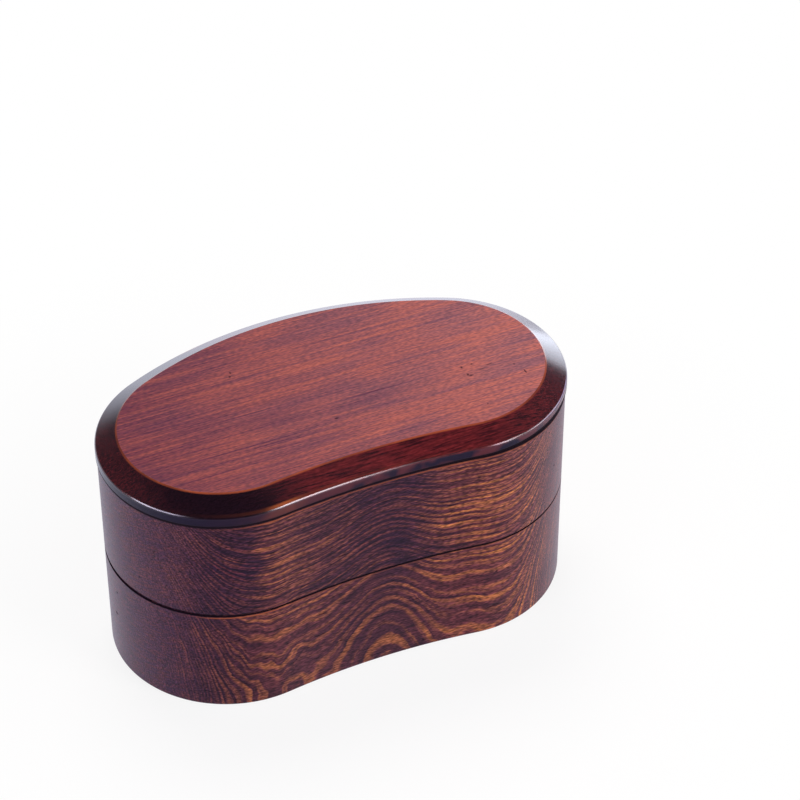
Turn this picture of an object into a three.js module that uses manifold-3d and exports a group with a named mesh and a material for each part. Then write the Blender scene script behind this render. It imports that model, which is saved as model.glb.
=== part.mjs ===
// A two-tier wooden bento box: a lower tray, an upper tray that stands on it, a loose divider in the
// upper tray, and a lid. Every piece is a profile carried round one kidney-shaped outline, so an edge,
// a wall and the seat that it fits keep the same distance all the way round.
// Millimetres, +Z up. The origin is on the table under the middle of the box, +X runs along its length
// and -Y points to its hollow front.

import * as THREE from 'three';
import { mergeVertices } from 'three/addons/utils/BufferGeometryUtils.js';
import Module from 'manifold-3d';

const wasm = await Module();
wasm.setup();

// Outline, seen from above
const boxLength = 185;
const boxDepth = 104;
const backCrown = 10.6; // the long back curve stands this far behind the round ends
const waistHollow = 3.1; // the front goes in this far between the round ends

// Heights of what shows
const lowerHeight = 46.5;
const upperHeight = 44.5;
const lidEdge = 4.5; // the lid's upright edge
const bevelRise = 5.25;
const bevelWidth = 8.65;
const lidOverhang = 0.5; // the lid stands proud of the trays all round

// Walls and floors, carved from the block
const wall = 7;
const floorThickness = 7;
const floorFillet = 6; // left by a round-nosed cutter

// Seats: the spigot under the upper tray and the plug under the lid drop into the mouth below
const spigotDepth = 4;
const plugDepth = 4.5;
const seatClearance = 0.35;
const seatLead = 1; // rounds the lower edge of the spigot and the plug

// Eased edges
const baseEase = 0.9;
const rimEase = 0.45; // two of these make the dark line of a seam
const arrisRound = 1.3; // between the lid's bevel and its upright edge
const topArrisRound = 0.7;

// The two upper pieces have warped a little, so that their seams stand open towards one end
const trayWarp = 1;
const lidWarp = 1.4;

// Divider
const dividerThickness = 4;
const dividerOffset = 22; // to the right of the middle
const dividerHeadroom = 2; // between its top edge and the lid's plug
const dividerEase = 1.2;
const grooveDepth = 1.5;
const grooveClearance = 0.3;
const cutOverrun = 5;

// Facets
const endSteps = 32;
const backSteps = 14;
const waistSteps = 6;
const cornerDivisions = 2; // a rounded corner gets twice this many facets

// Lacquered wood
const trayFinish = { color: 0x56302c, roughness: 0.32, metalness: 0 };
const lidFinish = { color: 0x8a4236, roughness: 0.3, metalness: 0 };
const dividerFinish = { color: 0x7a4030, roughness: 0.42, metalness: 0 };

// The outline keeps one reach from two spines, arcs through the centres of the round ends: the back
// spine rises by the crown and the front spine by the hollow. An inset only makes the reach shorter.
const lobeRadius = (boxDepth - backCrown) / 2;
const lobeX = boxLength / 2 - lobeRadius;
const lobeY = lobeRadius - boxDepth / 2;

function spine(rise) {
  const radius = (lobeX ** 2 + rise ** 2) / (2 * rise);
  return { radius, centreY: lobeY + rise - radius, halfAngle: Math.asin(lobeX / radius) };
}

const backSpine = spine(backCrown);
const frontSpine = spine(waistHollow);

// The points of the outline at an inset, anticlockwise from the right end of the hollow front
function outline(inset) {
  const reach = lobeRadius - inset;
  const up = Math.PI / 2;
  const backTurn = backSpine.halfAngle;
  const frontTurn = frontSpine.halfAngle;
  const rightEnd = new THREE.ArcCurve(lobeX, lobeY, reach, -up - frontTurn, up - backTurn);
  const backRadius = backSpine.radius + reach;
  const back = new THREE.ArcCurve(0, backSpine.centreY, backRadius, up - backTurn, up + backTurn);
  const leftEnd = new THREE.ArcCurve(-lobeX, lobeY, reach, up + backTurn, 3 * up + frontTurn);
  const frontRadius = frontSpine.radius - reach;
  const front = new THREE.ArcCurve(0, frontSpine.centreY, frontRadius, up + frontTurn, up - frontTurn, true);
  return [
    ...rightEnd.getPoints(endSteps).slice(0, endSteps),
    ...back.getPoints(backSteps).slice(0, backSteps),
    ...leftEnd.getPoints(endSteps).slice(0, endSteps),
    ...front.getPoints(waistSteps).slice(0, waistSteps),
  ];
}

// A profile through corners given as [inset, height, radius], where a radius rounds the corner
function roundedProfile(corners) {
  const path = new THREE.Path();
  const points = corners.map(([inset, height]) => new THREE.Vector2(inset, height));
  path.moveTo(points[0].x, points[0].y);
  for (let i = 1; i < corners.length; i += 1) {
    const radius = corners[i][2];
    if (radius) {
      roundCorner(path, points[i - 1], points[i], points[i + 1], radius);
    } else {
      path.lineTo(points[i].x, points[i].y);
    }
  }
  return path.getPoints(cornerDivisions);
}

// Adds the arc that touches both sides of a corner, with the straight line that leads to it
function roundCorner(path, before, corner, after, radius) {
  const back = before.clone().sub(corner).normalize();
  const ahead = after.clone().sub(corner).normalize();
  const halfAngle = Math.acos(back.dot(ahead)) / 2;
  const middle = back.clone().add(ahead).normalize();
  const centre = corner.clone().addScaledVector(middle, radius / Math.sin(halfAngle));
  const run = radius / Math.tan(halfAngle);
  const start = corner.clone().addScaledVector(back, run).sub(centre);
  const end = corner.clone().addScaledVector(ahead, run).sub(centre);
  const clockwise = back.cross(ahead) > 0;
  path.absarc(centre.x, centre.y, radius, start.angle(), end.angle(), clockwise);
}

// A closed body: the profile carried round the outline, with a flat cap in its first and last ring.
// The profile runs out along the underside, up the outside and in over the top. lift(x, z) raises a
// point of the profile by an amount that changes along the box.
function carriedRound(profile, lift = () => 0) {
  const positions = [];
  for (const { x: inset, y: z } of profile) {
    for (const point of outline(inset)) {
      positions.push(point.x, point.y, z + lift(point.x, z));
    }
  }
  const first = outline(profile[0].x);
  const last = outline(profile[profile.length - 1].x);
  const count = first.length;
  const lastStart = (profile.length - 1) * count;
  const triangles = [];
  for (const [a, b, c] of THREE.ShapeUtils.triangulateShape(first, [])) {
    triangles.push(a, c, b);
  }
  for (let ring = 0; ring < lastStart; ring += count) {
    for (let i = 0; i < count; i += 1) {
      const here = ring + i;
      const beside = ring + ((i + 1) % count);
      triangles.push(here, beside, beside + count, here, beside + count, here + count);
    }
  }
  for (const [a, b, c] of THREE.ShapeUtils.triangulateShape(last, [])) {
    triangles.push(lastStart + a, lastStart + b, lastStart + c);
  }
  const geometry = new THREE.BufferGeometry();
  geometry.setAttribute('position', new THREE.Float32BufferAttribute(positions, 3));
  geometry.setIndex(triangles);
  return geometry;
}

// A seat at height zero, and its eased edge, that stand open towards one end of the box, by the square
// of the way there
function openTowards(side, warp) {
  return (x, z) => {
    const share = Math.max(0, side * x / (boxLength / 2));
    const onSeat = Math.abs(z) < 2 * rimEase;
    return onSeat ? warp * share ** 2 : 0;
  };
}

function toSolid(geometry) {
  const bare = geometry.clone();
  bare.deleteAttribute('normal');
  bare.deleteAttribute('uv');
  const merged = mergeVertices(bare);
  const vertProperties = new Float32Array(merged.attributes.position.array);
  const triVerts = new Uint32Array(merged.index.array);
  return new wasm.Manifold(new wasm.Mesh({ numProp: 3, vertProperties, triVerts }));
}

function toGeometry(solid) {
  const mesh = solid.getMesh();
  const geometry = new THREE.BufferGeometry();
  geometry.setAttribute('position', new THREE.Float32BufferAttribute(mesh.vertProperties, 3));
  geometry.setIndex([...mesh.triVerts]);
  return geometry;
}

function piece(name, geometry, finish) {
  geometry.computeVertexNormals();
  const mesh = new THREE.Mesh(geometry, new THREE.MeshStandardMaterial(finish));
  mesh.name = name;
  return mesh;
}

// The last corners of a tray's profile: over its rim, down the hollow and across its floor
function rimAndHollow(rimHeight, floorHeight) {
  return [
    [0, rimHeight, rimEase],
    [wall, rimHeight, rimEase],
    [wall, floorHeight, floorFillet],
    [lobeRadius / 2, floorHeight],
  ];
}

// The first corners of a piece that drops into the mouth below: under its spigot, up the spigot's side
// and out along the seat, which is at height zero, to the piece's edge
function seatAndSpigot(depth, edgeInset) {
  const spigotInset = wall + seatClearance;
  return [
    [lobeRadius / 2, -depth],
    [spigotInset, -depth, seatLead],
    [spigotInset, 0],
    [edgeInset, 0, rimEase],
  ];
}

function lowerTrayGeometry() {
  const underside = [[lobeRadius / 2, 0], [0, 0, baseEase]];
  return carriedRound(roundedProfile([...underside, ...rimAndHollow(lowerHeight, floorThickness)]));
}

// The upper tray's own heights start at its seat on the lower tray
const upperFloor = floorThickness - spigotDepth;

function upperTrayGeometry() {
  const corners = [...seatAndSpigot(spigotDepth, 0), ...rimAndHollow(upperHeight, upperFloor)];
  const tray = toSolid(carriedRound(roundedProfile(corners), openTowards(-1, trayWarp)));
  const grooveWidth = dividerThickness + 2 * grooveClearance;
  const grooveSlab = acrossTray([
    [-grooveWidth / 2, 0],
    [grooveWidth / 2, 0],
    [grooveWidth / 2, upperHeight + cutOverrun],
    [-grooveWidth / 2, upperHeight + cutOverrun],
  ]);
  const grooves = toSolid(hollowShape(wall - grooveDepth)).intersect(toSolid(grooveSlab));
  return toGeometry(tray.subtract(grooves));
}

// What would fill the upper tray's hollow with its wall at an inset
function hollowShape(inset) {
  const topHeight = upperHeight + cutOverrun;
  return carriedRound(roundedProfile([
    [lobeRadius / 2, upperFloor],
    [inset, upperFloor, floorFillet],
    [inset, topHeight],
    [lobeRadius / 2, topHeight],
  ]));
}

// A section across the divider's thickness, given by corners as [x, z, radius] from the middle of the
// divider, carried over the whole depth of the box where the divider stands
function acrossTray(corners) {
  const shape = new THREE.Shape(roundedProfile(corners));
  const slab = new THREE.ExtrudeGeometry(shape, { depth: boxDepth, bevelEnabled: false });
  slab.rotateX(Math.PI / 2);
  slab.translate(dividerOffset, boxDepth / 2, 0);
  return slab;
}

function dividerGeometry() {
  const half = dividerThickness / 2;
  const top = upperHeight - plugDepth - dividerHeadroom;
  const board = toSolid(acrossTray([
    [-half, 0],
    [half, 0],
    [half, top, dividerEase],
    [-half, top, dividerEase],
    [-half, 0],
  ]));
  const betweenGrooves = toSolid(hollowShape(wall - grooveDepth + grooveClearance));
  return toGeometry(board.intersect(betweenGrooves));
}

// The lid's own heights start at its seat on the upper tray
function lidGeometry() {
  const profile = roundedProfile([
    ...seatAndSpigot(plugDepth, -lidOverhang),
    [-lidOverhang, lidEdge, arrisRound],
    [bevelWidth - lidOverhang, lidEdge + bevelRise, topArrisRound],
    [lobeRadius / 2, lidEdge + bevelRise],
  ]);
  return carriedRound(profile, openTowards(1, lidWarp));
}

// Assembly: the lid stands on the upper tray, and the upper tray on the lower one
const lidStage = new THREE.Group();
lidStage.position.z = upperHeight;
lidStage.add(piece('lid', lidGeometry(), lidFinish));

const upperStage = new THREE.Group();
upperStage.position.z = lowerHeight;
upperStage.add(piece('upper_tray', upperTrayGeometry(), trayFinish));
upperStage.add(piece('divider', dividerGeometry(), dividerFinish));
upperStage.add(lidStage);

const group = new THREE.Group();
group.name = 'bento_box';
group.add(piece('lower_tray', lowerTrayGeometry(), trayFinish));
group.add(upperStage);

export default group;
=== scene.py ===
"""The looks of a two-tier wooden bento box.

Both trays are cut from one trunk, so one pattern of growth rings runs through them. The lid has
straight streaks of its own, and its flat top is rubbed to a satin. The divider is a thin oiled
board. All the rest keeps its dark lacquer.
"""

import math

import bmesh
import bpy
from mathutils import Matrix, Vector


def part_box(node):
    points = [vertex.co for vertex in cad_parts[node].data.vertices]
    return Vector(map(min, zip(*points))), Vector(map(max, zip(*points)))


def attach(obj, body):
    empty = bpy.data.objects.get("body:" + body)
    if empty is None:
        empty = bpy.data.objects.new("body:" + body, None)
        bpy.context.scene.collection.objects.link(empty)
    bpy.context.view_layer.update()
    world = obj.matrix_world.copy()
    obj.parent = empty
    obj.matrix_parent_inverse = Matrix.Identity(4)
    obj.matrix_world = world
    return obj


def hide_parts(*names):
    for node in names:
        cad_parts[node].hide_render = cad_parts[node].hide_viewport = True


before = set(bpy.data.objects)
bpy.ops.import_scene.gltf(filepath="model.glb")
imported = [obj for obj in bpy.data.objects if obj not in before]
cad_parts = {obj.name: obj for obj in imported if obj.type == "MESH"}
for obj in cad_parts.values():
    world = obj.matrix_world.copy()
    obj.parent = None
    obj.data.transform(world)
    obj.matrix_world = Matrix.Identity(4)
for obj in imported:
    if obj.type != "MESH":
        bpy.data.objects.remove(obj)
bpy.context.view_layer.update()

bl_info = {
    "name": "Wooden bento box",
    "version": (1, 0, 0),
    "blender": (4, 5, 0),
    "location": "View3D > Sidebar > Bento",
    "description": "Carves and lacquers a two-tier wooden bento box with a lid and a divider",
    "category": "Object",
}

MM = 0.001

# The seat of the upper tray and the seat of the lid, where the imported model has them
LOWER_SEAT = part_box("lower_tray")[1].z
UPPER_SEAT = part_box("upper_tray")[1].z

# Points nearer than this are one point, or lie at one height
TOUCH = 0.01 * MM

# The trunk that the trays were cut from, in mm: where its pith runs, and a year's growth
PITH = (0, 180, -7)
YEAR = 0.78

# Face on, the dark lacquer gives back little light. Only at a glance does it mirror the white floor
LACQUER_TINT = (0.14, 0.08, 0.17, 1)


def linear(code):
    """The linear colour of an sRGB hex value, with alpha."""
    shares = [int(code[i:i + 2], 16) / 255 for i in (1, 3, 5)]
    return [s / 12.92 if s <= 0.04045 else ((s + 0.055) / 1.055) ** 2.4 for s in shares] + [1.0]


def length(name, millimetres, description):
    return bpy.props.FloatProperty(
        name=name, description=description, default=millimetres * MM, min=0, unit="LENGTH", precision=5
    )


def colour(name, code, description):
    return bpy.props.FloatVectorProperty(
        name=name, description=description, default=linear(code), size=4, min=0, max=1, subtype="COLOR"
    )


class BentoOutline(bpy.types.PropertyGroup):
    """The kidney outline that every piece is carved to."""

    box_length: length("Length", 185, "From end to end of a tray")
    box_depth: length("Depth", 104, "From the round ends' front to the crown of the back")
    back_crown: length("Back crown", 10.6, "How far the long back curve stands behind the round ends")
    waist_hollow: length("Waist hollow", 3.1, "How far the front goes in between the round ends")


class BentoTrays(bpy.types.PropertyGroup):
    """Walls, floors and edges of the two trays."""

    wall: length("Wall", 7, "Thickness of the carved wall")
    floor: length("Floor", 7, "Thickness of the carved floor")
    floor_fillet: length("Floor fillet", 6, "Radius that the round-nosed cutter leaves")
    spigot_depth: length("Spigot", 4, "How deep the upper tray drops into the lower one")
    seat_clearance: length("Clearance", 0.35, "Between a spigot or plug and the mouth round it")
    seat_lead: length("Lead", 1, "Rounds the lower edge of the spigot and the plug")
    rim_ease: length("Eased rim", 0.45, "Radius of the edges that meet at a seam")
    base_ease: length("Eased base", 0.9, "Radius of the edge that stands on the table")
    warp: length("Warp", 1, "How far the upper tray's seam stands open at the left end")


class BentoLid(bpy.types.PropertyGroup):
    """The lid and its bevel."""

    edge: length("Edge", 4.5, "Height of the upright edge")
    bevel_rise: length("Bevel rise", 5.25, "Height of the bevel above the edge")
    bevel_width: length("Bevel width", 8.65, "Width of the bevel, seen from above")
    overhang: length("Overhang", 0.5, "How far the lid stands proud of the trays")
    plug_depth: length("Plug", 4.5, "How deep the lid drops into the upper tray")
    arris_round: length("Arris", 1.3, "Radius between the edge and the bevel")
    top_round: length("Top arris", 0.7, "Radius between the bevel and the flat top")
    warp: length("Warp", 1.4, "How far the lid's seam stands open at the right end")


class BentoDivider(bpy.types.PropertyGroup):
    """The loose board that stands in the upper tray."""

    thickness: length("Thickness", 4, "Of the board")
    offset: length("Offset", 22, "From the middle of the box to the board")
    headroom: length("Headroom", 2, "Between the board and the lid's plug")
    groove_depth: length("Groove depth", 1.5, "Of the grooves in the tray's wall")
    clearance: length("Clearance", 0.3, "Between the board and its grooves")
    top_ease: length("Eased top", 1.2, "Radius along the board's top edges")


class BentoFinish(bpy.types.PropertyGroup):
    """Colours of the lacquered wood."""

    pores: colour("Pores", "#32141f", "Open early wood in the thinly lacquered parts")
    body: colour("Body", "#683436", "The wood between the pores and the late wood")
    late_wood: colour("Late wood", "#b8703a", "Dense late wood, where the thin lacquer glows")
    deep_pores: colour("Pores, deep", "#190b1a", "Open early wood under thick lacquer")
    deep_body: colour("Body, deep", "#291528", "The wood between, under thick lacquer")
    deep_late_wood: colour("Late wood, deep", "#5c2a31", "Late wood under thick lacquer")
    # The left end grain's blue-purple tint is partly a painted cool sheen
    left_end_grain_and_sheen: colour("Left end", "#482b44", "End grain, which drinks more lacquer")
    right_end: colour("Right end", "#4a1420", "End grain where the lacquer is redder")
    worn: colour("Worn edge", "#a3542e", "Bare late wood along the rubbed edges")
    # The seams' colour is painted shade. In the trays' pits it is their own dark
    seam: colour("Seam", "#0e0608", "Dark lacquer in the seams")
    # The rubbed top's colour at the left and at the right: one wood, in painted shade and painted light
    lid_shaded_left: colour("Lid, dark", "#6c353f", "The darker left of the rubbed lid top")
    lid_lit_right: colour("Lid, light", "#b2706b", "The lighter right of the rubbed lid top")
    lid_worn: colour("Lid, worn arris", "#a04c30", "Bare wood along the arris of the flat top")
    # The bevel's red grain fades into the dark lacquer towards the left, which is painted shade
    bevel_dark: colour("Bevel, dark", "#160a13", "The thick lacquer on the lid's bevel")
    bevel_red_grain: colour("Bevel, glow", "#80282a", "Where the bevel's lacquer is thin")
    edge_dusk: colour("Lid edge", "#171226", "The lid's upright edge")
    edge_brown: colour("Lid edge, brown", "#57272d", "Brown patches on the lid's upright edge")
    board: colour("Board", "#8a5a36", "The divider's wood")
    board_dark: colour("Board, dark grain", "#5a3320", "Dark streaks in the divider's wood")


def mark_edges(test):
    """Selects the edges that pass a test, and nothing else."""
    mesh = bmesh.from_edit_mesh(bpy.context.object.data)
    bpy.ops.mesh.select_all(action="DESELECT")
    for edge in mesh.edges:
        if test(edge):
            edge.select_set(True)
    bmesh.update_edit_mesh(bpy.context.object.data)


def mark_underside(height):
    """Selects the widest face at a height."""
    mesh = bmesh.from_edit_mesh(bpy.context.object.data)
    bpy.ops.mesh.select_all(action="DESELECT")
    level = [face for face in mesh.faces if abs(face.calc_center_median().z - height) < TOUCH]
    max(level, key=lambda face: face.calc_area()).select_set(True)
    bmesh.update_edit_mesh(bpy.context.object.data)


def lies_at(edge, height):
    return all(abs(point.co.z - height) < TOUCH for point in edge.verts)


def draw_outline(name, inset, height):
    """A flat kidney at an inset and a height. One point is spun round the four centres of the outline
    and filled. It is left open in edit mode."""
    sizes = bpy.context.scene.bento_outline
    lobe_radius = (sizes.box_depth - sizes.back_crown) / 2
    lobe_x = sizes.box_length / 2 - lobe_radius
    lobe_y = lobe_radius - sizes.box_depth / 2

    def spine(rise):
        radius = (lobe_x ** 2 + rise ** 2) / (2 * rise)
        return lobe_y + rise - radius, math.asin(lobe_x / radius)

    back_y, back_turn = spine(sizes.back_crown)
    front_y, front_turn = spine(sizes.waist_hollow)
    reach = lobe_radius - inset
    start = (lobe_x - reach * math.sin(front_turn), lobe_y - reach * math.cos(front_turn), height)
    end_turn = math.pi - back_turn + front_turn
    bpy.ops.object.select_all(action="DESELECT")
    bpy.ops.mesh.primitive_plane_add(size=MM, location=start)
    bpy.context.object.name = name
    bpy.ops.object.transform_apply(location=True)
    bpy.ops.object.mode_set(mode="EDIT")
    bpy.ops.mesh.merge(type="CENTER")
    # With no window, spin turns the other way, so its axis points down
    for steps, turn, x, y in (
        (96, end_turn, lobe_x, lobe_y),
        (60, 2 * back_turn, 0, back_y),
        (96, end_turn, -lobe_x, lobe_y),
        (30, -2 * front_turn, 0, front_y),
    ):
        bpy.ops.mesh.spin(steps=steps, angle=turn, center=(x, y, height), axis=(0, 0, -1))
    bpy.ops.mesh.select_all(action="SELECT")
    bpy.ops.mesh.remove_doubles(threshold=TOUCH)
    bpy.ops.mesh.edge_face_add()
    return bpy.context.object


def rise(distance):
    bpy.ops.mesh.extrude_region_move(TRANSFORM_OT_translate={"value": (0, 0, distance)})


def step_in(width):
    bpy.ops.mesh.inset(thickness=width, depth=0, use_even_offset=True)


def recalculate():
    bpy.ops.mesh.select_all(action="SELECT")
    bpy.ops.mesh.normals_make_consistent(inside=False)


def ease_edges(height, radius, segments, turn=math.pi / 2, hollow=False):
    """Rounds the sharp edges that lie at a height, either the proud ones or the hollow ones."""

    def sharp_there(edge):
        if not lies_at(edge, height):
            return False
        return edge.calc_face_angle(0) > math.radians(20) and edge.is_convex != hollow

    mark_edges(sharp_there)
    bpy.ops.mesh.bevel(
        offset=radius * math.tan(turn / 2), segments=segments, affect="EDGES", clamp_overlap=False
    )


def open_seam(piece, seat, side, warp):
    """Lifts the seat towards one end of the box, by the square of the way there, as warped wood does."""
    half = bpy.context.scene.bento_outline.box_length / 2
    # The eased edges beside the seat are lifted with it
    near = 2 * bpy.context.scene.bento_trays.rim_ease
    group = piece.vertex_groups.new(name="seat")
    for point in piece.data.vertices:
        if abs(point.co.z - seat) < near:
            share = max(0, side * point.co.x / half)
            group.add([point.index], share ** 2, "REPLACE")
    lift = piece.modifiers.new("warp", "DISPLACE")
    lift.direction = "Z"
    lift.mid_level = 0
    lift.strength = warp
    lift.vertex_group = group.name
    bpy.ops.object.modifier_apply(modifier=lift.name)


def finish_piece(piece, node, body, material):
    """Smooths a carved piece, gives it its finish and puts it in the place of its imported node."""
    bpy.ops.object.shade_smooth_by_angle(angle=math.radians(40))
    even = piece.modifiers.new("flat faces stay flat", "WEIGHTED_NORMAL")
    even.keep_sharp = True
    bpy.ops.object.modifier_apply(modifier=even.name)
    # Marks the flat rims, which the painted shade of the seams leaves free
    rim = piece.data.attributes.new("rim", "FLOAT", "FACE")
    for face in piece.data.polygons:
        rim.data[face.index].value = face.normal.z > 0.99
    piece.data.materials.clear()
    piece.data.materials.append(material)
    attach(piece, body)
    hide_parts(node)


def carve_hollow(rim, floor):
    """From a selected top face, the rim and then the hollow."""
    trays = bpy.context.scene.bento_trays
    step_in(trays.wall)
    rise(floor - rim)


def slice_across(width):
    """Keeps only what stands within a width of the divider's place."""
    divider = bpy.context.scene.bento_divider
    for side in (-1, 1):
        bpy.ops.mesh.select_all(action="SELECT")
        bpy.ops.mesh.bisect(
            plane_co=(divider.offset + side * width / 2, 0, 0),
            plane_no=(side, 0, 0),
            use_fill=True,
            clear_outer=True,
        )
    recalculate()


def add_node(tree, kind, inputs=(), **settings):
    """Adds a node with its settings, and links or sets its inputs."""
    node = tree.nodes.new(kind)
    for name, value in settings.items():
        setattr(node, name, value)
    for socket, value in dict(inputs).items():
        if isinstance(value, bpy.types.NodeSocket):
            tree.links.new(value, node.inputs[socket])
        else:
            node.inputs[socket].default_value = value
    return node


def noise_in_cells(tree, place, size, detail, roughness=0.5):
    """Noise from 0 to 1, in cells of a size along x, y and z."""
    scaled = add_node(
        tree, "ShaderNodeVectorMath", {0: place, 1: [1 / side for side in size]}, operation="MULTIPLY"
    ).outputs[0]
    return add_node(
        tree,
        "ShaderNodeTexNoise",
        {"Vector": scaled, "Scale": 1.0, "Detail": detail, "Roughness": roughness},
    ).outputs["Fac"]


def swayed(tree, value, noise, sway):
    """A value that noise moves both ways, by half of the sway at most."""
    offset = add_node(tree, "ShaderNodeMath", {0: noise, 1: 0.5}, operation="SUBTRACT").outputs[0]
    return add_node(
        tree, "ShaderNodeMath", {0: offset, 1: sway, 2: value}, operation="MULTIPLY_ADD"
    ).outputs[0]


def shaded_by(tree, skin, texture, low, high):
    """A skin that a texture darkens and lightens by a factor, without changing its colour."""
    # Nearly all of a noise lies between 0.3 and 0.7
    factor = add_node(
        tree,
        "ShaderNodeMapRange",
        {"Value": texture, "From Min": 0.3, "From Max": 0.7, "To Min": low, "To Max": high},
    ).outputs["Result"]
    return add_node(tree, "ShaderNodeVectorMath", {0: skin, "Scale": factor}, operation="SCALE").outputs[0]


def give_surface(tree, skin, rough, relief, strength, gloss):
    """Joins the parts of a material. The relief is 0.1 mm deep, and its strength is the share that shows."""
    bump = add_node(
        tree, "ShaderNodeBump", {"Strength": strength, "Distance": 0.1 * MM, "Height": relief}
    ).outputs["Normal"]
    shader = add_node(
        tree,
        "ShaderNodeBsdfPrincipled",
        {"Base Color": skin, "Roughness": rough, "Normal": bump, "IOR": 1.5, **gloss},
    )
    add_node(tree, "ShaderNodeOutputMaterial", {"Surface": shader.outputs["BSDF"]})


def growth_rings():
    """The trunk that the trays were cut from, by place in millimetres. Its pith runs along the box, far
    behind it. The front is cut almost along the rings, so they show there as bowls and arches, and the
    round ends are cut across them. The lid reads its fibres, pores and patches too."""
    tree = bpy.data.node_groups.new("growth rings", "ShaderNodeTree")
    tree.interface.new_socket("Place", in_out="INPUT", socket_type="NodeSocketVector")
    for name in ("Late wood", "Streaks", "Rays", "Fibre", "Pores", "Patches"):
        tree.interface.new_socket(name, in_out="OUTPUT", socket_type="NodeSocketFloat")
    place = add_node(tree, "NodeGroupInput").outputs["Place"]
    across = add_node(tree, "ShaderNodeVectorMath", {0: place, 1: PITH}, operation="SUBTRACT").outputs[0]
    across = add_node(
        tree, "ShaderNodeVectorMath", {0: across, 1: (0, 1, 1)}, operation="MULTIPLY"
    ).outputs[0]
    radius = add_node(tree, "ShaderNodeVectorMath", {0: across}, operation="LENGTH").outputs["Value"]

    # The rings wander a little along the grain. Each row: lengths in mm along x, y and z, and the sway
    # in mm. The last one frays the sharp line where a year ends
    for lengths, sway in (((60, 16, 18), 0.6), ((12, 5, 6), 0.4), ((3.2, 1.2, 1.2), 0.2)):
        radius = swayed(tree, radius, noise_in_cells(tree, place, lengths, 1), sway)

    # Curly growth on the left, low down, sways the rings by 1.4 mm more and breaks them into patches
    along = add_node(tree, "ShaderNodeSeparateXYZ", {0: place}).outputs
    curly = add_node(
        tree, "ShaderNodeMapRange", {"Value": along["X"], "From Min": -22, "From Max": -40, "To Max": 1.4}
    ).outputs["Result"]
    low = add_node(
        tree, "ShaderNodeMapRange", {"Value": along["Z"], "From Min": 52, "From Max": 36}
    ).outputs["Result"]
    curly = add_node(tree, "ShaderNodeMath", {0: curly, 1: low}, operation="MULTIPLY").outputs[0]
    radius = swayed(tree, radius, noise_in_cells(tree, place, (6, 14, 16), 0), curly)

    # A swell of the trunk, by 0.8 mm either way, steepens the arches at the waist: from crest to crest
    # it is 42 mm on the right and 50 mm on the left
    sides = [
        add_node(
            tree,
            "ShaderNodeMath",
            {0: along["X"], 1: math.tau / crest, 2: -3 * math.tau / crest},
            operation="MULTIPLY_ADD",
        ).outputs[0]
        for crest in (42, 50)
    ]
    swell = add_node(tree, "ShaderNodeMath", {0: sides[0], 1: sides[1]}, operation="MAXIMUM").outputs[0]
    swell = add_node(tree, "ShaderNodeMath", {0: swell}, operation="COSINE").outputs[0]
    radius = add_node(
        tree, "ShaderNodeMath", {0: swell, 1: -0.8, 2: radius}, operation="MULTIPLY_ADD"
    ).outputs[0]

    # Some years are wider than others, and the count starts part way through one
    years = add_node(tree, "ShaderNodeMath", {0: radius, 1: YEAR}, operation="DIVIDE").outputs[0]
    seasons = add_node(
        tree, "ShaderNodeTexNoise", {"W": years, "Scale": 0.3, "Detail": 1.0}, noise_dimensions="1D"
    ).outputs["Fac"]
    years = add_node(
        tree, "ShaderNodeMath", {0: seasons, 1: 1.4, 2: years}, operation="MULTIPLY_ADD"
    ).outputs[0]
    years = add_node(tree, "ShaderNodeMath", {0: years, 1: 0.6}, operation="ADD").outputs[0]
    season = add_node(tree, "ShaderNodeMath", {0: years}, operation="FRACT").outputs[0]
    year = add_node(tree, "ShaderNodeMath", {0: years}, operation="FLOOR").outputs[0]
    luck = add_node(tree, "ShaderNodeTexWhiteNoise", {"W": year}, noise_dimensions="1D").outputs["Value"]

    # A year starts with dark pores, lightens to late wood and darkens again where it ends
    tones = ramp_of_tones(
        tree,
        season,
        ((0.0, 0.2), (0.1, 0.0), (0.3, 0.25), (0.52, 0.8), (0.76, 1.0), (0.92, 0.8), (1.0, 0.2)),
    )
    strength = add_node(
        tree, "ShaderNodeMapRange", {"Value": luck, "To Min": 0.35, "To Max": 0.75}
    ).outputs["Result"]
    late = add_node(tree, "ShaderNodeMath", {0: tones, 1: strength}, operation="MULTIPLY").outputs[0]

    # Streaks are thin across the rings and short along them. Rays run out from the pith, and show on the
    # round ends. Fibres and pores lie along the grain, both drawn coarser than the real ones, which are
    # too fine to show. Patches are where the lacquer took unevenly
    parts = add_node(tree, "ShaderNodeSeparateXYZ", {0: across}).outputs
    angle = add_node(tree, "ShaderNodeMath", {0: parts["Z"], 1: parts["Y"]}, operation="ARCTAN2").outputs[0]
    by_ring = add_node(
        tree, "ShaderNodeCombineXYZ", {"X": years, "Y": along["X"], "Z": along["Z"]}
    ).outputs[0]
    by_ray = add_node(
        tree, "ShaderNodeCombineXYZ", {"X": radius, "Y": angle, "Z": along["X"]}
    ).outputs[0]
    textures = {}
    # Each row: name, place, size of a cell in the place's mm, years or radians, and how fine it gets
    for name, spot, size, detail in (
        ("Streaks", by_ring, (1 / 4.2, 18, 18), 1),
        ("Rays", by_ray, (7, 1 / 330, 4), 1),
        ("Fibre", place, (11, 0.7, 0.7), 3),
        ("Pores", place, (1.8, 0.55, 0.55), 0),
        ("Patches", place, (24, 16, 11), 2),
    ):
        textures[name] = noise_in_cells(tree, spot, size, detail, roughness=0.6)
    add_node(tree, "NodeGroupOutput", {"Late wood": late, **textures})


def new_material(name):
    """A material with no nodes yet."""
    material = bpy.data.materials.new(name)
    material.use_nodes = True
    material.node_tree.nodes.clear()
    return material


def read_place(tree):
    """The place in millimetres."""
    spot = add_node(tree, "ShaderNodeTexCoord").outputs["Object"]
    return add_node(tree, "ShaderNodeVectorMath", {0: spot, "Scale": 1 / MM}, operation="SCALE").outputs[0]


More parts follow.
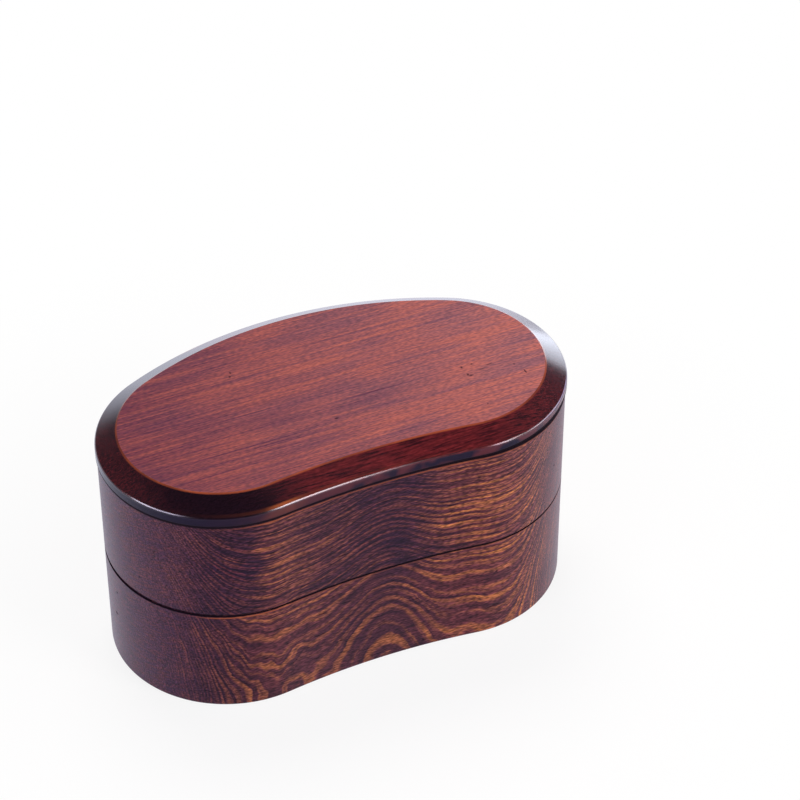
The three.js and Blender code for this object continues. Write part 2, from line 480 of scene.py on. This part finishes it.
def read_wood(tree):
    """The place in millimetres, its three parts, and the trunk's wood there."""
    place = read_place(tree)
    split = add_node(tree, "ShaderNodeSeparateXYZ", {0: place})
    rings = add_node(
        tree, "ShaderNodeGroup", {"Place": place}, node_tree=bpy.data.node_groups["growth rings"]
    )
    return place, split.outputs, rings.outputs


def ramp_of_tones(tree, value, stops, reading="LINEAR"):
    """A colour ramp with its stops. A stop is a position and a tone or a colour."""
    ramp = add_node(tree, "ShaderNodeValToRGB", {0: value})
    ramp.color_ramp.interpolation = reading
    for index, (position, tone) in enumerate(stops):
        if 0 < index < len(stops) - 1:
            ramp.color_ramp.elements.new(position)
        stop = ramp.color_ramp.elements[index if index < len(stops) - 1 else -1]
        stop.position = position
        stop.color = (tone, tone, tone, 1) if isinstance(tone, float) else tone
    return ramp.outputs["Color"]


def along_the_box(tree, x, patches, stops):
    """A tone that changes along the box, by stops of x in mm. Patches move its borders by up to 8 mm."""
    first, last = stops[0][0], stops[-1][0]
    share = add_node(
        tree, "ShaderNodeMapRange", {"Value": x, "From Min": first, "From Max": last}
    ).outputs["Result"]
    share = swayed(tree, share, patches, 0.08)
    shares = [((spot - first) / (last - first), tone) for spot, tone in stops]
    return ramp_of_tones(tree, share, shares, "B_SPLINE")


def pits(tree, place, spots):
    """How deep in a pit a place is, from 0 to 0.8. Each spot has a centre and a half width in mm."""
    # Counted in half widths, and at first far from any pit
    nearest = 9.0
    for centre, half in spots:
        away = add_node(tree, "ShaderNodeVectorMath", {0: place, 1: centre}, operation="SUBTRACT").outputs[0]
        away = add_node(tree, "ShaderNodeVectorMath", {0: away, 1: half}, operation="DIVIDE").outputs[0]
        away = add_node(tree, "ShaderNodeVectorMath", {0: away}, operation="LENGTH").outputs["Value"]
        nearest = add_node(tree, "ShaderNodeMath", {0: nearest, 1: away}, operation="MINIMUM").outputs[0]
    return add_node(
        tree, "ShaderNodeMapRange", {"Value": nearest, "From Min": 1.3, "From Max": 0.5, "To Max": 0.8}
    ).outputs["Result"]


def below_warp(tree, split, side, warp):
    """The height in mm that a place had before its seam was lifted. See open_seam."""
    half = bpy.context.scene.bento_outline.box_length / MM / 2
    share = add_node(
        tree, "ShaderNodeMath", {0: split["X"], 1: side / half}, operation="MULTIPLY", use_clamp=True
    ).outputs[0]
    share = add_node(tree, "ShaderNodeMath", {0: share, 1: share}, operation="MULTIPLY").outputs[0]
    return add_node(
        tree, "ShaderNodeMath", {0: share, 1: -warp / MM, 2: split["Z"]}, operation="MULTIPLY_ADD"
    ).outputs[0]


def near_height(tree, z, height, width):
    """A soft band round the box at a height in mm."""
    gap = add_node(tree, "ShaderNodeMath", {0: z, 1: height}, operation="SUBTRACT").outputs[0]
    gap = add_node(tree, "ShaderNodeMath", {0: gap}, operation="ABSOLUTE").outputs[0]
    return add_node(
        tree, "ShaderNodeMapRange", {"Value": gap, "From Min": width * 1.2, "From Max": width * 0.5}
    ).outputs["Result"]


def tray_lacquer():
    """Zelkova wood, carved and turned smooth, dyed dark and wiped with thin coats of lacquer. The rings
    show through, golden where the lacquer is thin and dusky where it is thick, under a soft gloss."""
    finish = bpy.context.scene.bento_finish
    material = new_material("wiped lacquer on zelkova")
    tree = material.node_tree
    place, split, rings = read_wood(tree)

    # Each tray was wiped by itself, so the thin parts don't quite meet at the seam
    below, above = (
        along_the_box(tree, split["X"], rings["Patches"], stops)
        for stops in (
            ((-95, 0.0), (-80, 0.1), (-64, 0.15), (-54, 0.35), (-46, 0.75), (-28, 0.65), (-12, 0.35),
             (8, 0.3), (20, 0.45), (28, 0.95), (54, 1.0), (66, 0.6), (76, 0.35), (95, 0.25)),
            ((-95, 0.1), (-84, 0.2), (-78, 0.25), (-69, 0.0), (-53, 0.0), (-48, 0.65), (-40, 0.65),
             (-28, 0.3), (-8, 0.15), (8, 0.1), (18, 0.1), (27, 0.85), (54, 0.95), (66, 0.6), (78, 0.35),
             (95, 0.25)),
        )
    )
    upper = add_node(
        tree, "ShaderNodeMath", {0: split["Z"], 1: LOWER_SEAT / MM}, operation="GREATER_THAN"
    ).outputs[0]
    thin = add_node(tree, "ShaderNodeMix", {0: upper, 2: below, 3: above}).outputs[0]
    thin = swayed(tree, thin, rings["Patches"], 0.9)
    # The lower tray shows its years clearly. In the upper one they are faint between the streaks
    clear, base, swing = (
        add_node(
            tree, "ShaderNodeMapRange", {"Value": upper, "To Min": low, "To Max": high}
        ).outputs["Result"]
        for low, high in ((0.85, 0.65), (0.2, 0.22), (1.0, 1.5))
    )
    late = add_node(
        tree, "ShaderNodeMath", {0: rings["Late wood"], 1: clear, 2: base}, operation="MULTIPLY_ADD"
    ).outputs[0]
    late = swayed(tree, late, rings["Streaks"], swing)
    warm = ramp_of_tones(tree, late, ((0.0, finish.pores), (0.4, finish.body), (0.95, finish.late_wood)))
    deep = ramp_of_tones(
        tree, late, ((0.0, finish.deep_pores), (0.4, finish.deep_body), (0.95, finish.deep_late_wood))
    )
    skin = add_node(tree, "ShaderNodeMix", {0: thin, 6: deep, 7: warm}, data_type="RGBA").outputs[2]

    # The round ends, where the rays are red on the darker end grain. The left end's blue-purple tint is
    # partly a painted sheen
    side = add_node(
        tree, "ShaderNodeMapRange", {"Value": split["X"], "From Min": -10, "From Max": 10}
    ).outputs["Result"]
    end_grain = add_node(
        tree, "ShaderNodeMix", {0: side, 6: finish.left_end_grain_and_sheen, 7: finish.right_end}, data_type="RGBA"
    ).outputs[2]
    rays = add_node(
        tree,
        "ShaderNodeMapRange",
        {"Value": rings["Rays"], "From Min": 0.45, "From Max": 0.61, "To Max": 0.75},
    ).outputs["Result"]
    end_grain = add_node(
        tree, "ShaderNodeMix", {0: rays, 6: end_grain, 7: finish.body}, data_type="RGBA"
    ).outputs[2]
    away = add_node(tree, "ShaderNodeMath", {0: split["X"]}, operation="ABSOLUTE").outputs[0]
    end = add_node(
        tree,
        "ShaderNodeMapRange",
        {"Value": away, "From Min": 64, "From Max": 92, "To Max": 0.75},
        interpolation_type="SMOOTHSTEP",
    ).outputs["Result"]
    skin = add_node(tree, "ShaderNodeMix", {0: end, 6: skin, 7: end_grain}, data_type="RGBA").outputs[2]
    skin = shaded_by(tree, skin, rings["Fibre"], 0.55, 1.45)
    skin = shaded_by(tree, skin, rings["Pores"], 0.5, 1.5)

    # Rubbed to bare wood in places along the rims
    for height, stops in (
        (LOWER_SEAT / MM - 0.8, ((-95, 0.0), (-76, 0.0), (-66, 0.8), (-40, 0.8), (-30, 0.15), (95, 0.15))),
        (
            UPPER_SEAT / MM - 1.2,
            ((-95, 0.0), (-58, 0.0), (-46, 0.9), (-34, 0.5), (-10, 0.4), (20, 0.6), (95, 0.7)),
        ),
    ):
        worn = along_the_box(tree, split["X"], rings["Patches"], stops)
        band = near_height(tree, split["Z"], height, 0.35)
        worn = add_node(tree, "ShaderNodeMath", {0: worn, 1: band}, operation="MULTIPLY").outputs[0]
        skin = add_node(
            tree, "ShaderNodeMix", {0: worn, 6: skin, 7: finish.worn}, data_type="RGBA"
        ).outputs[2]
    hollow = pits(
        tree,
        place,
        (
            ((47.2, -52, 30.7), (0.6, 1, 0.5)),
            ((76.3, -40.7, 65.5), (0.5, 0.5, 0.6)),
            ((-87.9, -25.5, 56.5), (0.6, 0.6, 0.4)),
            ((-92.3, -9.5, 36.5), (0.6, 0.6, 0.6)),
            ((-92.4, -7.4, 24.1), (0.8, 1.3, 0.6)),
        ),
    )
    # The pits, and painted shade along the seams, take the seam colour and are dull. Under the lid's open
    # seam the painted shade reaches further down
    dark = hollow
    warped = below_warp(tree, split, -1, bpy.context.scene.bento_trays.warp)
    lowered = below_warp(tree, split, 1, -0.7 * bpy.context.scene.bento_lid.warp)
    for z, height, width in (
        (split["Z"], LOWER_SEAT / MM, 0.4),
        (warped, LOWER_SEAT / MM, 0.6),
        (split["Z"], UPPER_SEAT / MM, 0.9),
        (lowered, UPPER_SEAT / MM, 0.9),
    ):
        band = near_height(tree, z, height, width)
        dark = add_node(tree, "ShaderNodeMath", {0: dark, 1: band}, operation="MAXIMUM").outputs[0]
    rim = add_node(tree, "ShaderNodeAttribute", attribute_name="rim").outputs["Fac"]
    dark = add_node(
        tree, "ShaderNodeMath", {0: dark, 1: rim}, operation="SUBTRACT", use_clamp=True
    ).outputs[0]
    skin = add_node(tree, "ShaderNodeMix", {0: dark, 6: skin, 7: finish.seam}, data_type="RGBA").outputs[2]

    rough = add_node(
        tree,
        "ShaderNodeMapRange",
        {"Value": rings["Fibre"], "From Min": 0.3, "From Max": 0.7, "To Min": 0.26, "To Max": 0.38},
    ).outputs["Result"]
    rough = add_node(tree, "ShaderNodeMath", {0: rough, 1: dark}, operation="MAXIMUM").outputs[0]
    # The rims are rubbed dull by the piece above
    rough = add_node(tree, "ShaderNodeMath", {0: rim, 1: 0.3, 2: rough}, operation="MULTIPLY_ADD").outputs[0]
    relief = add_node(tree, "ShaderNodeMath", {0: rings["Pores"], 1: hollow}, operation="SUBTRACT").outputs[0]
    give_surface(tree, skin, rough, relief, 0.4, {"Specular Tint": LACQUER_TINT})
    return material


def lid_lacquer():
    """Straight-grained zelkova. The lid's flat top is rubbed to a satin, its bevel keeps a thick gloss of
    dark lacquer, and the edge between them is rubbed through to bare orange wood."""
    finish = bpy.context.scene.bento_finish
    lid = bpy.context.scene.bento_lid
    material = new_material("rubbed and glossy lacquer on zelkova")
    tree = material.node_tree
    place, split, rings = read_wood(tree)
    arris = (UPPER_SEAT + lid.edge) / MM
    top = arris + lid.bevel_rise / MM

    # The flat top: fine straight grain, in broad soft bands. Painted light makes it lighter to the right.
    # Each row: lengths in mm along x, y and z, and how far it sways the tone and the hue. The first is
    # coarser than real streaks, which are too fine to show
    grain = along_the_box(tree, split["X"], rings["Patches"], ((-95, 0.0), (-20, 0.3), (40, 0.5), (95, 0.75)))
    warmth = 0.5
    for lengths, light, warm in (
        ((44, 0.55, 3), 0.8, 1.6),
        ((70, 1.7, 4), 0.25, 0.9),
        ((34, 13, 9), 0.45, 1.5),
    ):
        streaks = noise_in_cells(tree, place, lengths, 1, roughness=0.6)
        grain = swayed(tree, grain, streaks, light)
        warmth = swayed(tree, warmth, streaks, warm)
    satin = ramp_of_tones(tree, grain, ((0.0, finish.lid_shaded_left), (1.0, finish.lid_lit_right)))
    # The streaks and pores differ in hue more than in tone: from purple to golden
    warmth = swayed(tree, warmth, rings["Pores"], 0.8)
    hue = ramp_of_tones(tree, warmth, ((0.0, (0.8, 1.0, 1.25, 1)), (1.0, (1.25, 1.0, 0.8, 1))))
    satin = add_node(tree, "ShaderNodeVectorMath", {0: satin, 1: hue}, operation="MULTIPLY").outputs[0]
    satin = shaded_by(tree, satin, rings["Pores"], 0.8, 1.2)
    hollow = pits(
        tree,
        place,
        [
            ((x, y, top), (wide, deep, 1))
            for x, y, wide, deep in (
                (-31.5, 21.5, 0.4, 0.6),
                (-32.5, 19.4, 0.5, 0.6),
                (-5.2, -19.8, 0.8, 0.45),
                (50.2, -11.4, 0.45, 0.6),
                (54.6, -11.0, 0.4, 0.4),
                (50.6, -16.3, 0.5, 0.7),
                (51.6, -17.2, 1.0, 0.35),
                (57.0, -15.3, 1.4, 0.25),
                (60.5, -13.9, 1.4, 0.25),
                (69.4, -17.7, 0.35, 0.4),
                (71.4, -23.3, 0.35, 1.3),
                (50.0, -35.2, 0.35, 0.35),
            )
        ],
    )
    satin = add_node(
        tree, "ShaderNodeMix", {0: hollow, 6: satin, 7: finish.deep_pores}, data_type="RGBA"
    ).outputs[2]

    # The bevel: almost black at the left, which is painted shade, and towards the right the red grain shows
    # in it
    red = along_the_box(
        tree,
        split["X"],
        rings["Patches"],
        ((-95, 0.3), (-84, 0.12), (-76, 0.0), (-46, 0.0), (-36, 0.2), (-24, 0.42), (30, 0.42),
         (60, 0.36), (95, 0.1)),
    )
    streak = add_node(
        tree,
        "ShaderNodeMapRange",
        {"Value": rings["Fibre"], "From Min": 0.36, "From Max": 0.64, "To Min": 0.25, "To Max": 1.5},
    ).outputs["Result"]
    red = add_node(
        tree, "ShaderNodeMath", {0: red, 1: streak}, operation="MULTIPLY", use_clamp=True
    ).outputs[0]
    bevel = add_node(
        tree, "ShaderNodeMix", {0: red, 6: finish.bevel_dark, 7: finish.bevel_red_grain}, data_type="RGBA"
    ).outputs[2]
    bevel = shaded_by(tree, bevel, rings["Pores"], 0.8, 1.2)

    # The upright edge: dusky, with brown patches, and golden over the golden part of the tray
    blocks = noise_in_cells(tree, place, (7, 7, 7), 1)
    brown = add_node(
        tree, "ShaderNodeMapRange", {"Value": blocks, "From Min": 0.38, "From Max": 0.56}
    ).outputs["Result"]
    rightwards = along_the_box(
        tree, split["X"], rings["Patches"], ((-95, 0.0), (-50, 0.0), (-30, 0.5), (0, 0.9), (95, 0.9))
    )
    brown = add_node(tree, "ShaderNodeMath", {0: brown, 1: rightwards}, operation="MULTIPLY").outputs[0]
    edge = add_node(
        tree, "ShaderNodeMix", {0: brown, 6: finish.edge_dusk, 7: finish.edge_brown}, data_type="RGBA"
    ).outputs[2]
    golden = along_the_box(
        tree,
        split["X"],
        rings["Patches"],
        ((-95, 0.0), (-48, 0.0), (-42, 0.8), (-36, 0.8), (-28, 0.0), (95, 0.0)),
    )
    faint = add_node(tree, "ShaderNodeMath", {0: golden, 1: 0.3}, operation="MULTIPLY").outputs[0]
    edge = add_node(tree, "ShaderNodeMix", {0: faint, 6: edge, 7: finish.worn}, data_type="RGBA").outputs[2]
    glow = near_height(tree, split["Z"], arris + 0.5, 0.4)
    glow = add_node(tree, "ShaderNodeMath", {0: glow, 1: golden}, operation="MULTIPLY").outputs[0]
    bevel = add_node(tree, "ShaderNodeMix", {0: glow, 6: bevel, 7: finish.worn}, data_type="RGBA").outputs[2]
    bare = add_node(
        tree,
        "ShaderNodeMapRange",
        {"Value": rings["Patches"], "From Min": 0.35, "From Max": 0.65, "To Min": 0.35, "To Max": 0.9},
    ).outputs["Result"]
    rubbed = add_node(
        tree, "ShaderNodeMix", {0: bare, 6: bevel, 7: finish.lid_worn}, data_type="RGBA"
    ).outputs[2]

    # Each finish takes over from the one below at its height, and the flat top comes last
    skin = edge
    for low, high, tint in (
        (arris - 0.6, arris - 0.1, bevel),
        (top - 0.5, top - 0.25, rubbed),
        (top - 0.05, top - 0.01, satin),
    ):
        above = add_node(
            tree, "ShaderNodeMapRange", {"Value": split["Z"], "From Min": low, "From Max": high}
        ).outputs["Result"]
        skin = add_node(tree, "ShaderNodeMix", {0: above, 6: skin, 7: tint}, data_type="RGBA").outputs[2]
    flat_top = above
    # Painted shade along the seam, darkest where the seam stands open
    warped = below_warp(tree, split, 1, 1.6 * lid.warp)
    dark = near_height(tree, warped, UPPER_SEAT / MM, 1.1)
    skin = add_node(tree, "ShaderNodeMix", {0: dark, 6: skin, 7: finish.seam}, data_type="RGBA").outputs[2]

    rough = add_node(
        tree, "ShaderNodeMapRange", {"Value": flat_top, "To Min": 0.1, "To Max": 0.65}
    ).outputs["Result"]
    rough = add_node(
        tree, "ShaderNodeMath", {0: rings["Fibre"], 1: 0.1, 2: rough}, operation="MULTIPLY_ADD"
    ).outputs[0]
    rough = add_node(tree, "ShaderNodeMath", {0: rough, 1: dark}, operation="MAXIMUM").outputs[0]
    # The bevel and its lower arris keep a clear top coat, which the rubbed top and the edge have lost
    coated = add_node(
        tree,
        "ShaderNodeMapRange",
        {"Value": split["Z"], "From Min": arris - 1.0, "From Max": arris - 0.5},
    ).outputs["Result"]
    coated = add_node(
        tree, "ShaderNodeMath", {0: coated, 1: flat_top}, operation="SUBTRACT", use_clamp=True
    ).outputs[0]
    # Along the front, hands have worn it thin in two places
    kept = along_the_box(
        tree,
        split["X"],
        rings["Patches"],
        ((-95, 1.0), (-86, 1.0), (-78, 0.2), (-52, 0.2), (-40, 1.0), (2, 1.0), (14, 0.3), (44, 0.3),
         (54, 1.0), (95, 1.0)),
    )
    behind = add_node(
        tree, "ShaderNodeMapRange", {"Value": split["Y"], "From Min": -15, "From Max": 0}
    ).outputs["Result"]
    kept = add_node(tree, "ShaderNodeMath", {0: kept, 1: behind}, operation="MAXIMUM").outputs[0]
    coated = add_node(tree, "ShaderNodeMath", {0: coated, 1: kept}, operation="MULTIPLY").outputs[0]
    relief = add_node(tree, "ShaderNodeMath", {0: rings["Pores"], 1: hollow}, operation="SUBTRACT").outputs[0]
    gloss = {"Specular Tint": LACQUER_TINT, "Coat Weight": coated, "Coat Roughness": 0.2}
    give_surface(tree, skin, rough, relief, 0.06, gloss)
    return material


def board_oil():
    """A thin zelkova board, planed along its own grain, which runs across the box, and wiped with oil.
    Its streaks are drawn coarser than real ones, which are too fine to show."""
    finish = bpy.context.scene.bento_finish
    material = new_material("wiped oil on zelkova")
    tree = material.node_tree
    place = read_place(tree)
    tone = 0.0
    for lengths, weight in (((3, 40, 1.4), 0.6), ((1, 9, 0.5), 0.4)):
        streaks = noise_in_cells(tree, place, lengths, 3, roughness=0.6)
        tone = add_node(
            tree, "ShaderNodeMath", {0: streaks, 1: weight, 2: tone}, operation="MULTIPLY_ADD"
        ).outputs[0]
    skin = ramp_of_tones(tree, tone, ((0.36, finish.board_dark), (0.62, finish.board)))
    rough = add_node(
        tree, "ShaderNodeMapRange", {"Value": tone, "To Min": 0.6, "To Max": 0.4}
    ).outputs["Result"]
    give_surface(tree, skin, rough, tone, 0.2, {})
    return material


def wood(name):
    """A finish, made once. The wood itself comes first."""
    if "growth rings" not in bpy.data.node_groups:
        growth_rings()
    makers = {
        "wiped lacquer on zelkova": tray_lacquer,
        "rubbed and glossy lacquer on zelkova": lid_lacquer,
        "wiped oil on zelkova": board_oil,
    }
    return bpy.data.materials.get(name) or makers[name]()


class BENTO_OT_lower_tray(bpy.types.Operator):
    """Carve the lower tray"""

    bl_idname = "bento.lower_tray"
    bl_label = "Lower tray"

    def execute(self, context):
        trays = context.scene.bento_trays
        tray = draw_outline("lower_tray_carved", 0, 0)
        rise(LOWER_SEAT)
        carve_hollow(LOWER_SEAT, trays.floor)
        recalculate()
        ease_edges(0, trays.base_ease, 4)
        ease_edges(LOWER_SEAT, trays.rim_ease, 4)
        ease_edges(trays.floor, trays.floor_fillet, 10, hollow=True)
        bpy.ops.object.mode_set(mode="OBJECT")
        finish_piece(tray, "lower_tray", "lower_tray", wood("wiped lacquer on zelkova"))
        return {"FINISHED"}


class BENTO_OT_upper_tray(bpy.types.Operator):
    """Carve the upper tray, with its spigot and the grooves for the divider"""

    bl_idname = "bento.upper_tray"
    bl_label = "Upper tray"

    def execute(self, context):
        trays = context.scene.bento_trays
        divider = context.scene.bento_divider
        seat = LOWER_SEAT
        floor = seat + trays.floor - trays.spigot_depth
        # The cutter goes on past the rim, so that the grooves are open at the top
        over = 5 * MM

        cutter = draw_outline("groove_cutter", trays.wall - divider.groove_depth, floor)
        rise(UPPER_SEAT + over - floor)
        recalculate()
        ease_edges(floor, trays.floor_fillet, 10)
        slice_across(divider.thickness + 2 * divider.clearance)
        bpy.ops.object.mode_set(mode="OBJECT")

        tray = draw_outline("upper_tray_carved", 0, seat)
        rise(UPPER_SEAT - seat)
        carve_hollow(UPPER_SEAT, floor)
        mark_underside(seat)
        step_in(trays.wall + trays.seat_clearance)
        rise(-trays.spigot_depth)
        recalculate()
        ease_edges(seat, trays.rim_ease, 4)
        ease_edges(seat - trays.spigot_depth, trays.seat_lead, 4)
        ease_edges(UPPER_SEAT, trays.rim_ease, 4)
        ease_edges(floor, trays.floor_fillet, 10, hollow=True)
        bpy.ops.object.mode_set(mode="OBJECT")
        open_seam(tray, seat, -1, trays.warp)
        grooves = tray.modifiers.new("grooves", "BOOLEAN")
        grooves.operation = "DIFFERENCE"
        grooves.object = cutter
        bpy.ops.object.modifier_apply(modifier=grooves.name)
        bpy.data.objects.remove(cutter)
        finish_piece(tray, "upper_tray", "upper_tray", wood("wiped lacquer on zelkova"))
        return {"FINISHED"}


class BENTO_OT_divider(bpy.types.Operator):
    """Cut the loose divider board"""

    bl_idname = "bento.divider"
    bl_label = "Divider"

    def execute(self, context):
        trays = context.scene.bento_trays
        lid = context.scene.bento_lid
        divider = context.scene.bento_divider
        floor = LOWER_SEAT + trays.floor - trays.spigot_depth
        top = UPPER_SEAT - lid.plug_depth - divider.headroom
        board = draw_outline("divider_board", trays.wall - divider.groove_depth + divider.clearance, floor)
        rise(top - floor)
        recalculate()
        ease_edges(floor, trays.floor_fillet, 10)
        slice_across(divider.thickness)

        def long_top(edge):
            run = edge.verts[1].co - edge.verts[0].co
            return lies_at(edge, top) and abs(run.y) > abs(run.x)

        mark_edges(long_top)
        bpy.ops.mesh.bevel(offset=divider.top_ease, segments=4, affect="EDGES", clamp_overlap=False)
        bpy.ops.object.mode_set(mode="OBJECT")
        finish_piece(board, "divider", "divider", wood("wiped oil on zelkova"))
        return {"FINISHED"}


class BENTO_OT_lid(bpy.types.Operator):
    """Carve the lid, with its bevel and its plug"""

    bl_idname = "bento.lid"
    bl_label = "Lid"

    def execute(self, context):
        trays = context.scene.bento_trays
        lid = context.scene.bento_lid
        seat = UPPER_SEAT
        slope = math.atan2(lid.bevel_rise, lid.bevel_width)
        piece = draw_outline("lid_carved", -lid.overhang, seat)
        rise(lid.edge)
        step_in(lid.bevel_width)
        bpy.ops.transform.translate(value=(0, 0, lid.bevel_rise))
        mark_underside(seat)
        step_in(trays.wall + trays.seat_clearance + lid.overhang)
        rise(-lid.plug_depth)
        recalculate()
        ease_edges(seat, trays.rim_ease, 4)
        ease_edges(seat - lid.plug_depth, trays.seat_lead, 4)
        ease_edges(seat + lid.edge, lid.arris_round, 6, turn=math.pi / 2 - slope)
        ease_edges(seat + lid.edge + lid.bevel_rise, lid.top_round, 4, turn=slope)
        bpy.ops.object.mode_set(mode="OBJECT")
        open_seam(piece, seat, 1, lid.warp)
        finish_piece(piece, "lid", "lid", wood("rubbed and glossy lacquer on zelkova"))
        return {"FINISHED"}


class BENTO_OT_studio(bpy.types.Operator):
    """Set up the white floor, the soft lights and the camera"""

    bl_idname = "bento.studio"
    bl_label = "Studio"

    def execute(self, context):
        scene = context.scene
        self.add_floor()
        self.add_sky(scene)
        # The lamps point at the middle of the box
        aim = Vector((0, 0, 50)) * MM
        # Each lamp: direction from the box, distance, width, height, power in watts, colour. A glint
        # shows only in the gloss of the lacquer
        for name, direction, distance, width, height, power, tint in (
            ("softbox_above", (0.05, 0.42, 0.9), 1.2, 0.6, 0.6, 9, "#fff6f0"),
            ("softbox_front", (0.5, -0.74, 0.45), 1.3, 0.5, 0.5, 9, "#fffaf6"),
            ("softbox_right", (0.9, -0.3, 0.3), 1.3, 0.8, 0.5, 6, "#f8f4ff"),
            ("softbox_left", (-0.9, -0.3, 0.3), 1.3, 0.8, 0.5, 8, "#eef0ff"),
            ("softbox_back", (0.32, 0.71, 0.63), 1.3, 0.7, 0.6, 0.5, "#f8f4ff"),
            ("glint_left", (-0.919, -0.195, 0.342), 1.3, 0.9, 0.7, 26, "#eef2ff"),
            ("glint_front", (0.429, -0.842, 0.326), 1.3, 0.36, 0.8, 11, "#fff8fa"),
            ("glint_corner", (0.82, -0.543, 0.18), 1.3, 0.5, 0.3, 3, "#fff8fa"),
            ("glint_right", (0.99, -0.03, 0.139), 1.3, 1.0, 0.36, 4.5, "#d0ccff"),
            ("glint_back_right", (0.704, 0.704, 0.087), 1.0, 0.75, 0.35, 2.4, "#e8f2ff"),
        ):
            light = bpy.data.lights.new(name, "AREA")
            light.shape = "RECTANGLE"
            light.size = width
            light.size_y = height
            light.energy = power
            light.color = linear(tint)[:3]
            lamp = bpy.data.objects.new(name, light)
            lamp.visible_diffuse = not name.startswith("glint")
            scene.collection.objects.link(lamp)
            away = Vector(direction).normalized()
            lamp.location = aim + away * distance
            lamp.rotation_euler = away.to_track_quat("Z", "Y").to_euler()
        self.add_camera(scene)
        scene.view_settings.view_transform = "Standard"
        return {"FINISHED"}

    def add_floor(self):
        wall_height = 0.8
        bpy.ops.object.select_all(action="DESELECT")
        bpy.ops.mesh.primitive_circle_add(vertices=96, radius=4, fill_type="NGON")
        floor = bpy.context.object
        floor.name = "floor"
        bpy.ops.object.mode_set(mode="EDIT")
        bpy.ops.mesh.select_all(action="SELECT")
        rise(wall_height)
        # The disc that went up is taken away again, and leaves a low white wall round the floor
        bpy.ops.mesh.delete(type="FACE")
        bpy.ops.mesh.select_all(action="SELECT")
        bpy.ops.mesh.flip_normals()
        bpy.ops.object.mode_set(mode="OBJECT")
        material = new_material("matt white paper")
        tree = material.node_tree
        # White to the camera, with a shadow close round the box. In reflections it is a little cooler, and
        # the low wall round it fades upwards
        spot = add_node(tree, "ShaderNodeTexCoord").outputs["Object"]
        height = add_node(tree, "ShaderNodeSeparateXYZ", {0: spot}).outputs["Z"]
        distance = add_node(tree, "ShaderNodeVectorMath", {0: spot}, operation="LENGTH").outputs["Value"]
        share = add_node(
            tree,
            "ShaderNodeMapRange",
            {"Value": distance, "From Min": 0.09, "From Max": 0.24, "To Min": 0.85, "To Max": 1.0},
        ).outputs["Result"]
        rays = add_node(tree, "ShaderNodeLightPath").outputs
        fading = add_node(
            tree, "ShaderNodeMapRange", {"Value": height, "From Min": wall_height, "From Max": 0.0}
        ).outputs["Result"]
        mirrored = add_node(
            tree, "ShaderNodeMath", {0: rays["Is Glossy Ray"], 1: fading}, operation="MULTIPLY"
        ).outputs[0]
        seen = add_node(
            tree, "ShaderNodeMath", {0: rays["Is Camera Ray"], 1: mirrored}, operation="MAXIMUM"
        ).outputs[0]
        seen = add_node(
            tree, "ShaderNodeMath", {0: seen, 1: rays["Is Transmission Ray"]}, operation="MAXIMUM"
        ).outputs[0]
        share = add_node(tree, "ShaderNodeMath", {0: seen, 1: share}, operation="MULTIPLY").outputs[0]
        paper = add_node(tree, "ShaderNodeBsdfDiffuse", {"Color": linear("#f6f6f6")})
        tint = add_node(
            tree,
            "ShaderNodeMix",
            {0: rays["Is Glossy Ray"], 6: (1, 1, 1, 1), 7: linear("#eceeff")},
            data_type="RGBA",
        ).outputs[2]
        white = add_node(tree, "ShaderNodeEmission", {"Color": tint, "Strength": 1.0})
        mixed = add_node(
            tree,
            "ShaderNodeMixShader",
            {0: share, 1: paper.outputs["BSDF"], 2: white.outputs["Emission"]},
        )
        add_node(tree, "ShaderNodeOutputMaterial", {"Surface": mixed.outputs["Shader"]})
        floor.data.materials.append(material)

    def add_sky(self, scene):
        world = bpy.data.worlds.new("dim studio")
        world.use_nodes = True
        world.node_tree.nodes["Background"].inputs["Color"].default_value = linear("#dfe4f2")
        world.node_tree.nodes["Background"].inputs["Strength"].default_value = 0.1
        scene.world = world

    def add_camera(self, scene):
        # Aim, turn, distance and lens were fitted together to the edges of the box
        aim = Vector((35.78, 13.67, 70.78)) * MM
        distance = 1.1
        azimuth, elevation = math.radians(-24.15), math.radians(39.35)
        back = Vector((
            math.sin(azimuth) * math.cos(elevation),
            -math.cos(azimuth) * math.cos(elevation),
            math.sin(elevation),
        ))
        camera = bpy.data.cameras.new("camera")
        camera.sensor_width = 36
        camera.lens = 126.13
        viewer = bpy.data.objects.new("camera", camera)
        scene.collection.objects.link(viewer)
        viewer.location = aim + back * distance
        viewer.rotation_euler = back.to_track_quat("Z", "Y").to_euler()
        scene.camera = viewer


class BENTO_PT_panel(bpy.types.Panel):
    """Sizes, colours and pieces of the bento box"""

    bl_idname = "BENTO_PT_panel"
    bl_label = "Bento box"
    bl_space_type = "VIEW_3D"
    bl_region_type = "UI"
    bl_category = "Bento"

    def draw(self, context):
        for name in SETTINGS:
            group = getattr(context.scene, name)
            box = self.layout.box()
            for key in group.bl_rna.properties.keys():
                if key not in ("rna_type", "name"):
                    box.prop(group, key)
        for piece in PIECES:
            self.layout.operator(f"bento.{piece}")


SETTINGS = {
    "bento_outline": BentoOutline,
    "bento_trays": BentoTrays,
    "bento_lid": BentoLid,
    "bento_divider": BentoDivider,
    "bento_finish": BentoFinish,
}
PIECES = ("lower_tray", "upper_tray", "divider", "lid", "studio")
CLASSES = (
    *SETTINGS.values(),
    BENTO_OT_lower_tray,
    BENTO_OT_upper_tray,
    BENTO_OT_divider,
    BENTO_OT_lid,
    BENTO_OT_studio,
    BENTO_PT_panel,
)


def register():
    for kind in CLASSES:
        bpy.utils.register_class(kind)
    for name, kind in SETTINGS.items():
        setattr(bpy.types.Scene, name, bpy.props.PointerProperty(type=kind))


def unregister():
    for name in SETTINGS:
        delattr(bpy.types.Scene, name)
    for kind in reversed(CLASSES):
        bpy.utils.unregister_class(kind)


def main():
    register()
    for piece in PIECES:
        getattr(bpy.ops.bento, piece)()


if __name__ == "__main__":
    main()
